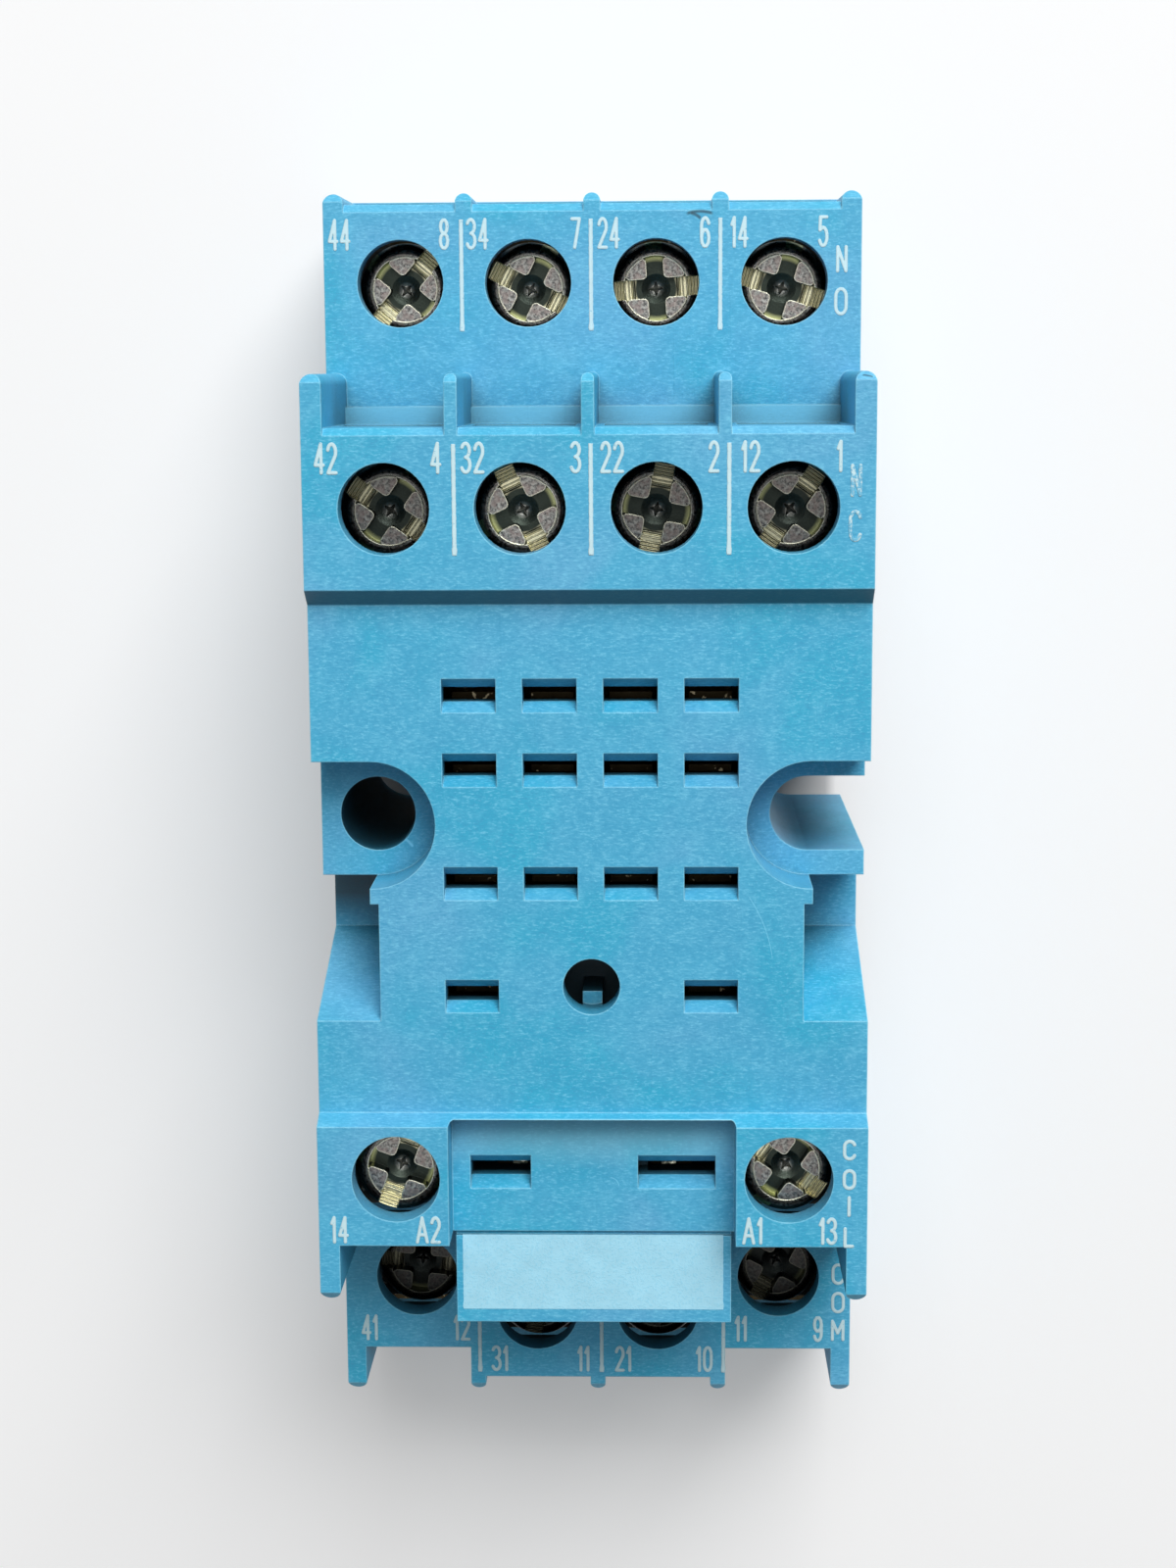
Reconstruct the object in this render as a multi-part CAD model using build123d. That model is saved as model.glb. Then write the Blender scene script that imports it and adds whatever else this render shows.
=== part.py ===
"""Relay socket for a 35 mm rail or a panel, with screw terminals on two levels.

The socket lies on its back with the relay side up. X runs across it, +Y points to the
normally-open terminals and +Z to the relay. The origin is on the back plane, on the
centre line of the rail, which is also the line of the two side fixing holes.
All sizes are in millimetres.
"""

from build123d import *

import os

# Body outline
body_width = 30.5
no_face_end = 33.9
no_edge_chamfer = 0.45
no_rib_end = 34.5
no_step_end = 22.55
nc_wall = 21.6
nc_face_start = 13.0
seat_no_end = 12.1
seat_coil_end = -16.25
coil_face_start = -16.75
coil_wall = -23.6
com_outer_face = -34.05
com_middle_face = -35.9
com_rib_end = -36.8

# Heights above the back plane
seat_z = 26.0
high_tier_rise = 1.2
low_tier_z = 15.8
step_rise = 0.8
split_z = 7.6
ear_z = 22.0
rail_ceiling_z = 3.2

# Ribs between the wire entries
side_leg_width = 1.15
no_rib_width = 0.95
com_rib_width = 0.9
nc_rib_width = 0.7
nc_rib_reach = 2.85
coil_leg_reach = 3.2
rib_top_chamfer = 0.45
wall_chamfer = 0.4

# Terminals
lanes = (-1.5, -0.5, 0.5, 1.5)
terminal_pitch = 7.27
no_well_y = 29.47
nc_well_y = 17.32
coil_well_y = -19.74
com_outer_well_y = -29.53
com_middle_well_y = -31.67
well_radius = 2.45
roof_thickness = 1.6
wire_window_height = 4.0
screw_set_back = 0.25

# Terminal screw
head_depth = 2.9
head_height = 1.7
head_radius = 2.7
shank_radius = 1.5
shank_length = 4.6
drive_slot_width = 0.9
drive_slot_depth = 0.9

# Clamp plate under each screw head
plate_width = 5.3
plate_length = 5.3
plate_thickness = 0.8
wire_space = 2.0

# Contact strips
strip_thickness = 0.8
neck_width = 3.0
boss_width = 4.4
boss_depth = 1.0
fork_width = 2.4
fork_leaf = 0.4
fork_gap = 0.5

# Clearances
shank_clearance = 0.08
head_play = 0.05
side_clearance = 0.15
strip_clearance = 0.15
boss_clearance = 0.2
fork_end_clearance = 2.0
tail_clearance = 0.6
lug_clearance = 0.1
peg_clearance = 0.05
clip_clearance = 0.15

# Relay seat
contact_column_pitch = 4.4
row_nc_y = 7.15
row_no_y = 3.05
row_com_y = -3.25
row_coil_y = -9.6
slot_width = 2.95
slot_throat = 0.8
slot_mouth = 1.86
slot_chamfer_depth = 0.84
seat_wall = 1.8
cell_width = 3.3
cell_length = 2.0
locating_hole_radius = 1.57
locating_hole_y = -9.05
locating_cell_width = 4.4
locating_cell_length = 5.0
locating_cell_depth = 4.0
locating_rib_width = 1.1
locating_rib_length = 1.7

# Recess for a plug-in module, and the label carrier in front of it
recess_width = 15.95
recess_depth = 2.6
recess_end = -16.5
recess_corner_radius = 0.3
label_width = 15.6
label_end = -29.0
module_slot_y = -20.12
module_slot_length = 1.95
module_left_slot = (-6.93, -3.52)
module_right_slot = (2.53, 6.9)
module_contact_x = 4.43
module_throat = 0.8
module_wall = 1.6
recess_groove_width = 0.25
recess_groove_depth = 0.2

# Side fixing holes and the pockets beside them
fixing_hole_x = 12.05
fixing_hole_radius = 2.1
ear_recess_radius = 3.53
lug_half_length = 3.1
lug_width = 6.3
pocket_inner_x = 11.7
pocket_notch_x = 12.17
pocket_notch_end = -4.4
pocket_floor_end = -7.6
pocket_ramp_end = -11.0
pocket_z = 16.8

# Base and rail fixing
rail_slot_length = 35.4
hook_reach = 1.2
hook_height = 1.6
hook_width = 8.0
hook_x = 8.0
peg_width = 2.2
peg_height = 3.0
peg_y = 22.0
foot_pocket_size = 5.4
foot_pocket_depth = 2.8
foot_pocket_y = 27.0
clip_groove_width = 14.0
clip_lip_width = 1.5
clip_lip_height = 0.9
clip_groove_top = 3.0
clip_travel = 3.0
clip_tab_width = 7.0
clip_tab_reach = 2.4
clip_tab_slot_width = 3.0
clip_tab_slot_length = 1.0
clip_nose_reach = 1.2
clip_arm_width = 1.3
clip_arm_slit = 0.9
clip_arm_length = 8.0
clip_arm_root_y = -22.5
clip_bump_reach = 0.6
clip_bump_length = 1.6

# Values that follow from the sizes above
half_width = body_width / 2
high_tier_z = seat_z + high_tier_rise
step_z = low_tier_z + step_rise
recess_z = high_tier_z - recess_depth
chamber_half = head_radius + side_clearance
plate_half_length = plate_length / 2
clamp_stack = head_depth + head_height + head_play + plate_thickness + wire_space
high_strip_top = high_tier_z - clamp_stack
high_strip_low = high_strip_top - strip_thickness
screw_reach = shank_length + wire_space + tail_clearance
relief_half = boss_width / 2 + boss_clearance
bore_radius = shank_radius + shank_clearance
cell_top_z = seat_z - seat_wall
fork_top_z = cell_top_z - fork_end_clearance
module_cell_top_z = recess_z - module_wall
rail_half = rail_slot_length / 2
clip_low_z = 0.1
outside = 1.0


def block(x, y, z):
    """Box between two values on each axis."""
    spans = (x, y, z)
    size = [abs(span[1] - span[0]) for span in spans]
    middle = [(span[0] + span[1]) / 2 for span in spans]
    return Pos(*middle) * Box(*size)


def prism_across(points, x):
    """Outline in Y and Z, drawn across the width between two values of X."""
    outline = Polyline(*[(x[0], y, z) for y, z in points], close=True)
    return extrude(make_face(outline), amount=x[1] - x[0], dir=(1, 0, 0))


def plate(points, z):
    """Outline in X and Y, drawn upwards between two heights."""
    outline = Polyline(*[(x, y, z[0]) for x, y in points], close=True)
    return extrude(make_face(outline), amount=z[1] - z[0], dir=(0, 0, 1))


def drill(x, y, z, radius):
    """Upright cylinder between two heights."""
    return Pos(x, y, (z[0] + z[1]) / 2) * Cylinder(radius, z[1] - z[0])


def rib(x, y_root, y_end, z, width):
    """Upright rib with a rounded end and a chamfer at the top of that end."""
    side = 1 if y_end > y_root else -1
    radius = width / 2
    plan = block((x - radius, x + radius), (y_root, y_end - side * radius), z)
    plan += drill(x, y_end - side * radius, z, radius)
    profile = [
        (y_root, z[0]),
        (y_end, z[0]),
        (y_end, z[1] - rib_top_chamfer),
        (y_end - side * rib_top_chamfer, z[1]),
        (y_root, z[1]),
    ]
    return plan & prism_across(profile, (x - width, x + width))


class Terminal:
    """One screw terminal, its clamp and the contact strip that leads to the relay."""

    def __init__(self, name, lane, well_y, face_y, face_z, fork_y, on_base):
        self.name = name
        self.x = lane * terminal_pitch
        self.well_y = well_y
        self.screw_y = well_y - screw_set_back
        self.face_y = face_y
        self.face_z = face_z
        self.out = 1 if face_y > well_y else -1
        self.on_base = on_base
        self.head_top = face_z - head_depth
        self.head_low = self.head_top - head_height
        self.plate_top = self.head_low - head_play
        self.strip_low = split_z if on_base else high_strip_low
        self.strip_top = self.strip_low + strip_thickness
        self.fork_x = lane * contact_column_pitch
        self.fork_y = fork_y


def all_terminals():
    """The fourteen terminals, left to right on each tier."""
    found = []
    for lane, digit in zip(lanes, ("4", "3", "2", "1")):
        found.append(Terminal(digit + "4", lane, no_well_y, no_face_end, low_tier_z, row_no_y, True))
        found.append(Terminal(digit + "2", lane, nc_well_y, nc_wall, high_tier_z, row_nc_y, False))
        middle = abs(lane) < 1
        com_well = com_middle_well_y if middle else com_outer_well_y
        com_face = com_middle_face if middle else com_outer_face
        found.append(Terminal(digit + "1", lane, com_well, com_face, low_tier_z, row_com_y, True))
    for lane, name in ((-1.5, "a2"), (1.5, "a1")):
        found.append(Terminal(name, lane, coil_well_y, coil_wall, high_tier_z, row_coil_y, False))
    return found


def chamber_y(terminal):
    """Lengthwise span of the cell that holds the clamp plate and screw head."""
    reach = plate_half_length + strip_clearance + side_clearance
    return (terminal.screw_y - reach, terminal.screw_y + reach)


def pad_y(terminal):
    """Lengthwise span of the strip's flat under the clamp plate."""
    inner = terminal.screw_y - terminal.out * plate_half_length
    outer = terminal.face_y - terminal.out * (side_clearance + strip_clearance)
    return (min(inner, outer), max(inner, outer))


def strip_outline(terminal, grow, z):
    """Flat of the strip, its neck and the branch to the module slots."""
    low, high = pad_y(terminal)
    half_pad = plate_width / 2 + grow
    pad = block((terminal.x - half_pad, terminal.x + half_pad), (low - grow, high + grow), z)
    inner_y = low if terminal.out > 0 else high
    neck = neck_width / 2 + grow
    tip = fork_width / 2 + grow
    end_y = terminal.fork_y - terminal.out * (fork_gap / 2 + fork_leaf + grow)
    bend_y = terminal.fork_y + terminal.out * fork_width
    outline = [
        (terminal.x - neck, inner_y + terminal.out * grow),
        (terminal.x + neck, inner_y + terminal.out * grow),
        (terminal.fork_x + tip, bend_y),
        (terminal.fork_x + tip, end_y),
        (terminal.fork_x - tip, end_y),
        (terminal.fork_x - tip, bend_y),
    ]
    shape = pad + plate(outline, z)
    if terminal.well_y == coil_well_y:
        shape += module_branch(terminal, grow, z)
    return shape


def module_branch(terminal, grow, z):
    """Arm of a coil strip that passes under a module slot."""
    side = 1 if terminal.x > 0 else -1
    near = side * (module_contact_x - fork_width / 2 - grow)
    half = fork_gap / 2 + fork_leaf + grow
    span = (module_slot_y - half, module_slot_y + half)
    return block((near, terminal.x), span, z)


def fork(x, y, z):
    """Two upright leaves that grip a flat pin between them."""
    leaves = []
    for side in (-1, 1):
        near = y + side * fork_gap / 2
        far = near + side * fork_leaf
        leaves.append(block((x - fork_width / 2, x + fork_width / 2), (near, far), z))
    return leaves


def contact_strip(terminal):
    """Brass strip from under the clamp plate to the fork behind the relay slot."""
    z = (terminal.strip_low, terminal.strip_top)
    strip = strip_outline(terminal, 0, z)
    boss_low = terminal.strip_low - boss_depth
    boss_x = (terminal.x - boss_width / 2, terminal.x + boss_width / 2)
    boss_y = (terminal.screw_y - boss_width / 2, terminal.screw_y + boss_width / 2)
    strip += block(boss_x, boss_y, (boss_low, terminal.strip_top))
    for leaf in fork(terminal.fork_x, terminal.fork_y, (terminal.strip_low, fork_top_z)):
        strip += leaf
    if terminal.well_y == coil_well_y:
        side = 1 if terminal.x > 0 else -1
        module_top = module_cell_top_z - fork_end_clearance
        for leaf in fork(side * module_contact_x, module_slot_y, (terminal.strip_low, module_top)):
            strip += leaf
    bore_z = (boss_low - outside, terminal.strip_top + outside)
    return strip - drill(terminal.x, terminal.screw_y, bore_z, bore_radius)


def clamp_plate(terminal):
    """Square plate with a square hole, which the screw head presses on the wire."""
    top = terminal.plate_top
    low = top - plate_thickness
    half = plate_width / 2
    x = (terminal.x - half, terminal.x + half)
    y = (terminal.screw_y - plate_half_length, terminal.screw_y + plate_half_length)
    hole_x = (terminal.x - bore_radius, terminal.x + bore_radius)
    hole_y = (terminal.screw_y - bore_radius, terminal.screw_y + bore_radius)
    return block(x, y, (low, top)) - block(hole_x, hole_y, (low - outside, top + outside))


def terminal_screw(terminal):
    """Captive screw with a flat head and a slot across it."""
    x = terminal.x
    y = terminal.screw_y
    tip_z = terminal.head_low - shank_length
    shape = drill(x, y, (tip_z, terminal.head_low), shank_radius)
    shape += drill(x, y, (terminal.head_low, terminal.head_top), head_radius)
    slot_x = (x - head_radius, x + head_radius)
    slot_y = (y - drive_slot_width / 2, y + drive_slot_width / 2)
    return shape - block(slot_x, slot_y, (terminal.head_top - drive_slot_depth, terminal.face_z))


def housing_block():
    """Outer form of the housing: seat, two upper tiers, two lower tiers and their ribs."""
    profile = [
        (com_outer_face, split_z),
        (no_face_end, split_z),
        (no_face_end, low_tier_z - no_edge_chamfer),
        (no_face_end - no_edge_chamfer, low_tier_z),
        (no_step_end, low_tier_z),
        (no_step_end, step_z),
        (nc_wall, step_z),
        (nc_wall, high_tier_z - wall_chamfer),
        (nc_wall - wall_chamfer, high_tier_z),
        (nc_face_start, high_tier_z),
        (seat_no_end, seat_z),
        (seat_coil_end, seat_z),
        (coil_face_start, high_tier_z),
        (coil_wall, high_tier_z),
        (coil_wall, low_tier_z),
        (com_outer_face, low_tier_z),
    ]
    shape = prism_across(profile, (-half_width, half_width))
    low_z = (split_z, low_tier_z)
    high_z = (low_tier_z, high_tier_z)
    middle_half = terminal_pitch + com_rib_width / 2
    shape += block((-middle_half, middle_half), (com_middle_face, com_outer_face), low_z)
    shape += block((-label_width / 2, label_width / 2), (label_end, coil_wall), (low_tier_z, recess_z))
    for lane in (-1, 0, 1):
        x = lane * terminal_pitch
        shape += rib(x, no_face_end - no_rib_width, no_rib_end, low_z, no_rib_width)
        shape += rib(x, com_middle_face + com_rib_width, com_rib_end, low_z, com_rib_width)
        shape += rib(x, nc_wall - wall_chamfer, nc_wall + nc_rib_reach, high_z, nc_rib_width)
    for side in (-1, 1):
        x = side * (half_width - side_leg_width / 2)
        shape += rib(x, no_face_end - side_leg_width, no_rib_end, low_z, side_leg_width)
        shape += rib(x, com_outer_face + side_leg_width, com_rib_end, low_z, side_leg_width)
        shape += rib(x, nc_wall - side_leg_width, nc_wall + nc_rib_reach, high_z, side_leg_width)
        shape += rib(x, coil_wall + side_leg_width, coil_wall - coil_leg_reach, high_z, side_leg_width)
    return shape


def fixing_lugs():
    """Solid lugs round the side fixing holes, reaching down to the rail."""
    lugs = []
    for side in (-1, 1):
        x = (side * (half_width - lug_width), side * half_width)
        lugs.append(block(x, (-lug_half_length, lug_half_length), (rail_ceiling_z, split_z)))
    return lugs


def fixing_cuts():
    """Left round hole, right open slot, the ear recesses and the ramped side pockets."""
    cuts = []
    hole_z = (rail_ceiling_z - outside, seat_z + outside)
    recess_span = (ear_z, seat_z + outside)
    for side in (-1, 1):
        x = side * fixing_hole_x
        edge = side * (half_width + outside)
        cuts.append(drill(x, 0, hole_z, fixing_hole_radius))
        cuts.append(drill(x, 0, recess_span, ear_recess_radius))
        cuts.append(block((x, edge), (-ear_recess_radius, ear_recess_radius), recess_span))
        ramp = [
            (pocket_notch_end, seat_z + outside),
            (pocket_notch_end, pocket_z),
            (pocket_floor_end, pocket_z),
            (pocket_ramp_end, seat_z),
            (pocket_ramp_end, seat_z + outside),
        ]
        cuts.append(prism_across(ramp, sorted((side * pocket_inner_x, edge))))
        notch_y = (pocket_notch_end, -ear_recess_radius)
        cuts.append(block((side * pocket_notch_x, edge), notch_y, (pocket_z, seat_z + outside)))
    slot_y = (-fixing_hole_radius, fixing_hole_radius)
    cuts.append(block((fixing_hole_x, half_width + outside), slot_y, hole_z))
    return cuts


def pin_slot(x, y, top_z, wall, mouth, throat):
    """Slot for a flat pin, chamfered on its two long sides."""
    half_mouth = mouth / 2
    half_throat = throat / 2
    shoulder_z = top_z - slot_chamfer_depth
    outline = [
        (y - half_throat, top_z - wall - outside),
        (y + half_throat, top_z - wall - outside),
        (y + half_throat, shoulder_z),
        (y + half_mouth, top_z),
        (y + half_mouth, top_z + outside / 2),
        (y - half_mouth, top_z + outside / 2),
        (y - half_mouth, top_z),
        (y - half_throat, shoulder_z),
    ]
    return prism_across(outline, x)


def relay_slot_cuts(terminals):
    """Fourteen pin slots in the seat, each over the fork of its contact strip."""
    cuts = []
    for terminal in terminals:
        x = (terminal.fork_x - slot_width / 2, terminal.fork_x + slot_width / 2)
        cuts.append(pin_slot(x, terminal.fork_y, seat_z, seat_wall, slot_mouth, slot_throat))
        cell_x = (terminal.fork_x - cell_width / 2, terminal.fork_x + cell_width / 2)
        cell_y = (terminal.fork_y - cell_length / 2, terminal.fork_y + cell_length / 2)
        cuts.append(block(cell_x, cell_y, (terminal.strip_low, cell_top_z)))
    return cuts


def module_cuts():
    """Recess between the coil terminals, with two slots and a groove at its outer end."""
    half = recess_width / 2
    recess = block((-half, half), (coil_wall - outside, recess_end), (recess_z, high_tier_z + outside))
    corners = recess.edges().filter_by(Axis.Z).group_by(Axis.Y)[-1]
    cuts = [fillet(corners, recess_corner_radius)]
    for x in (module_left_slot, module_right_slot):
        cuts.append(pin_slot(x, module_slot_y, recess_z, module_wall, module_slot_length, module_throat))
        cell_y = (module_slot_y - cell_length / 2, module_slot_y + cell_length / 2)
        side = 1 if x[0] > 0 else -1
        inner = side * (module_contact_x - fork_width / 2 - strip_clearance)
        outer = max(x, key=abs)
        cuts.append(block((inner, outer), cell_y, (high_strip_low, module_cell_top_z)))
    groove_x = (-label_width / 2, label_width / 2)
    groove_y = (coil_wall - recess_groove_width, coil_wall)
    cuts.append(block(groove_x, groove_y, (recess_z - recess_groove_depth, recess_z)))
    return cuts


def locating_hole_cuts():
    """Round hole for the relay's spigot and the ribbed cell under it."""
    half = locating_cell_width / 2
    reach = locating_cell_length / 2
    low = cell_top_z - locating_cell_depth
    cell_y = (locating_hole_y - reach, locating_hole_y + reach)
    cell = block((-half, half), cell_y, (low, cell_top_z))
    rib_y = (cell_y[0], cell_y[0] + locating_rib_length)
    cell -= block((-locating_rib_width / 2, locating_rib_width / 2), rib_y, (low, cell_top_z))
    hole = drill(0, locating_hole_y, (cell_top_z - outside / 2, seat_z + outside), locating_hole_radius)
    return [cell, hole]


def terminal_cuts(terminal):
    """Well, clamp cell, wire entry, strip pocket and screw relief of one terminal."""
    floor_z = terminal.strip_low
    roof_z = terminal.face_z - roof_thickness
    span = chamber_y(terminal)
    x = (terminal.x - chamber_half, terminal.x + chamber_half)
    outer = terminal.face_y + terminal.out * (outside + com_rib_width)
    window = (terminal.screw_y, outer)
    cuts = [
        drill(terminal.x, terminal.well_y, (roof_z - outside / 2, terminal.face_z + outside), well_radius),
        block(x, span, (floor_z, roof_z)),
        block(x, window, (floor_z, floor_z + wire_window_height)),
        strip_outline(terminal, strip_clearance, (floor_z, terminal.strip_top + strip_clearance)),
    ]
    if not terminal.on_base:
        cuts.append(screw_relief(terminal))
    return cuts


def screw_relief(terminal):
    """Square pocket under the strip for its threaded boss and the screw's tail."""
    x = (terminal.x - relief_half, terminal.x + relief_half)
    y = (terminal.screw_y - relief_half, terminal.screw_y + relief_half)
    return block(x, y, (terminal.head_low - screw_reach, terminal.strip_low))


def housing(terminals):
    """Upper moulding, solid between its cells."""
    shape = housing_block()
    for lug in fixing_lugs():
        shape += lug
    cuts = fixing_cuts() + relay_slot_cuts(terminals) + module_cuts() + locating_hole_cuts()
    for terminal in terminals:
        cuts += terminal_cuts(terminal)
    cuts += pegs(peg_clearance)
    return shape - cuts


def pegs(grow):
    """Four square pegs that locate the housing on the base, or their sockets."""
    half = peg_width / 2 + grow
    found = []
    for x in (-terminal_pitch, terminal_pitch):
        for y in (-peg_y, peg_y):
            span = (split_z, split_z + peg_height + grow)
            found.append(block((x - half, x + half), (y - half, y + half), span))
    return found


def clip_bump_span():
    """Lengthwise span of the bump at the end of each snap arm."""
    end = clip_arm_root_y - clip_arm_length
    return (end, end + clip_bump_length)


def clip_groove_cuts():
    """Groove that guides the rail clip, with lips below and a stop pocket each side."""
    half = clip_groove_width / 2
    y = (com_rib_end - outside, -rail_half + outside)
    bump = clip_bump_span()
    pocket_y = (bump[0] - clip_travel - clip_clearance, bump[1] + clip_clearance)
    reach = half + clip_bump_reach + clip_clearance
    return [
        block((-half, half), y, (clip_lip_height, clip_groove_top)),
        block((-half + clip_lip_width, half - clip_lip_width), y, (-outside, clip_lip_height)),
        block((-reach, reach), pocket_y, (clip_lip_height, clip_groove_top)),
    ]


def base(terminals):
    """Lower moulding with the rail slot, its fixed hooks and the clip's groove."""
    shape = block((-half_width, half_width), (com_rib_end, no_rib_end), (0, split_z))
    rail = block((-half_width, half_width), (-rail_half, rail_half), (0, rail_ceiling_z))
    cuts = [rail] + clip_groove_cuts()
    for side in (-1, 1):
        x = (side * (half_width - lug_width - lug_clearance), side * (half_width + outside))
        reach = lug_half_length + lug_clearance
        cuts.append(block(x, (-reach, reach), (rail_ceiling_z, split_z)))
    for terminal in terminals:
        if terminal.on_base:
            cuts.append(screw_relief(terminal))
    pocket = foot_pocket_size / 2
    for lane in lanes:
        x = lane * terminal_pitch
        for y in (-foot_pocket_y, foot_pocket_y):
            if y > 0 or abs(lane) > 1:
                cuts.append(block((x - pocket, x + pocket), (y - pocket, y + pocket), (0, foot_pocket_depth)))
    shape -= cuts
    for side in (-1, 1):
        x = (side * hook_x - hook_width / 2, side * hook_x + hook_width / 2)
        hook = [
            (rail_half + outside, 0),
            (rail_half + outside, hook_height),
            (rail_half - hook_reach, hook_height),
            (rail_half - hook_reach, hook_height / 2),
            (rail_half - hook_reach / 2, 0),
        ]
        shape += prism_across(hook, x)
    for peg in pegs(0):
        shape += peg
    return shape


def rail_clip():
    """Sliding clip with a bevelled nose, two snap arms and a tab for a screwdriver."""
    wide = clip_groove_width / 2 - clip_clearance
    narrow = wide - clip_lip_width
    top = clip_groove_top - clip_clearance
    waist = clip_lip_height + clip_clearance
    y = (com_rib_end + clip_clearance, -rail_half - clip_clearance)
    shape = block((-wide, wide), y, (waist, top))
    shape += block((-narrow, narrow), y, (clip_low_z, waist))
    tip = -rail_half + clip_nose_reach
    nose = [
        (y[1] - outside, clip_low_z),
        (tip - clip_nose_reach / 2, clip_low_z),
        (tip, hook_height / 2),
        (tip, hook_height),
        (y[1] - outside, hook_height),
    ]
    shape += prism_across(nose, (-narrow, narrow))
    tab_half = clip_tab_width / 2
    tab_y = (com_rib_end - clip_tab_reach, y[0])
    shape += block((-tab_half, tab_half), tab_y, (clip_low_z, top))
    slot_half = clip_tab_slot_width / 2
    slot_y = tab_y[0] + clip_tab_reach / 2
    slot_span = (slot_y - clip_tab_slot_length / 2, slot_y + clip_tab_slot_length / 2)
    cuts = [block((-slot_half, slot_half), slot_span, (0, clip_groove_top))]
    bump = clip_bump_span()
    for side in (-1, 1):
        inner = side * (wide - clip_arm_width)
        slit = (inner - side * clip_arm_slit, inner)
        cuts.append(block(slit, (bump[0] - clip_arm_slit, clip_arm_root_y), (clip_low_z, top)))
        end_gap = (bump[0] - clip_arm_slit, bump[0])
        cuts.append(block((inner, side * wide), end_gap, (waist, top)))
    shape -= cuts
    for side in (-1, 1):
        bump_x = (side * (wide - clip_arm_width), side * (wide + clip_bump_reach))
        shape += block(bump_x, bump, (waist, top))
    return shape


def main():
    os.makedirs("parts", exist_ok=True)
    terminals = all_terminals()
    pieces = {
        "housing": housing(terminals),
        "base": base(terminals),
        "rail_clip": rail_clip(),
    }
    for terminal in terminals:
        pieces["terminal_screw_" + terminal.name] = terminal_screw(terminal)
        pieces["clamp_plate_" + terminal.name] = clamp_plate(terminal)
        pieces["contact_strip_" + terminal.name] = contact_strip(terminal)
    for name, shape in pieces.items():
        export_step(shape, os.path.join("parts", name + ".step"))


main()
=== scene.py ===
"""Looks of the relay socket: materials, detailed screws, printed lettering, light and camera.

Lengths are in metres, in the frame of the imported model: the socket lies on its back, +Y points
to the normally-open terminals and +Z to the relay.
"""

import math

import bmesh
import bpy
from mathutils import Matrix, Vector
from mathutils.geometry import delaunay_2d_cdt


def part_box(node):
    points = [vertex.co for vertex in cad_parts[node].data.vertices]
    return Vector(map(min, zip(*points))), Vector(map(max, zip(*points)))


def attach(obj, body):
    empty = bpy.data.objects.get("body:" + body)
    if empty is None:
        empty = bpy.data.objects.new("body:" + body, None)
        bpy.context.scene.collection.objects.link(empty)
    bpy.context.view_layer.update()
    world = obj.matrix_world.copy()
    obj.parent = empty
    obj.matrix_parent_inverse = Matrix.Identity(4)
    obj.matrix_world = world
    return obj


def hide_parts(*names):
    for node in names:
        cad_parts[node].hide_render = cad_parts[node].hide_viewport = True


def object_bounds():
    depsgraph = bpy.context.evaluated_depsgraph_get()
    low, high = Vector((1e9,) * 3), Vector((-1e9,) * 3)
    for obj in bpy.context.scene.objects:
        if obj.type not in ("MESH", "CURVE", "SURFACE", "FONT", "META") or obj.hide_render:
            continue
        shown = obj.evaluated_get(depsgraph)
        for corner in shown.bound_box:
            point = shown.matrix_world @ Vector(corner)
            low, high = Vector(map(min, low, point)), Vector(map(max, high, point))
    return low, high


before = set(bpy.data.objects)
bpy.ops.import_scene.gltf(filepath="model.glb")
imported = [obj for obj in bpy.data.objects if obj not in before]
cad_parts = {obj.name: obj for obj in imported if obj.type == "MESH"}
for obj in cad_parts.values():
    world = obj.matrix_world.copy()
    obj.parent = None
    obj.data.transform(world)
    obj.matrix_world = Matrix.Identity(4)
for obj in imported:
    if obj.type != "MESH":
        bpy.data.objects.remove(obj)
cad_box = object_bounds()

MM = 0.001

# Camera at the photograph's viewing angle
CAMERA_PLACE = Vector((3.54, 24.59, 163.03)) * MM
CAMERA_TURN = tuple(math.radians(angle) for angle in (-9.2443, 1.4777, -0.3365))
CAMERA_LENS = 58.5

# Low key light from the side of the normally-open terminals, and a weak box overhead
KEY_PLACE = Vector((230, 630, 620)) * MM
KEY_SIZE = 560 * MM
KEY_POWER = 7.6
TOP_PLACE = Vector((20, 330, 560)) * MM
TOP_SIZE = 360 * MM
TOP_POWER = 1.15
WORLD_LEVEL = 0.12

# Colours, linear
BLUE = (0.072, 0.425, 0.66)
BLUE_MILKY = (0.115, 0.43, 0.68)
BLUE_TEAL = (0.032, 0.415, 0.63)
BLUE_LIGHT = (0.20, 0.64, 0.87)
# Pale plastic: worn edges that also carry a painted highlight, and painted light in the recess
BLUE_WEAR_AND_HIGHLIGHT = (0.33, 0.76, 0.93)
BLUE_SHADE = (0.045, 0.33, 0.56)
# Painted shade colour of the plastic: on the shaded bevel, deep in hollows, in the side pocket and in the nicks
BLUE_PAINTED_SHADE = (0.004, 0.030, 0.045)
INK = (0.64, 0.88, 0.94)
LABEL = (0.43, 0.82, 1.0)
STEEL = (0.36, 0.36, 0.335)
STEEL_DARK = (0.07, 0.07, 0.07)
STEEL_PINK = (0.25, 0.20, 0.185)
# Painted highlight colour: rims of the screw lands and glints on the metal strips
STEEL_PAINTED_HIGHLIGHT = (0.93, 0.93, 0.72)
# Painted shade colour of the screws' dome, pan, recess and ridge grooves
STEEL_PAINTED_SHADE = (0.032, 0.040, 0.033)
# Black that screws are darkened towards; on the lower tier's screws this is painted shade
STEEL_BLACK = (0.008, 0.009, 0.009)
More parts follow.
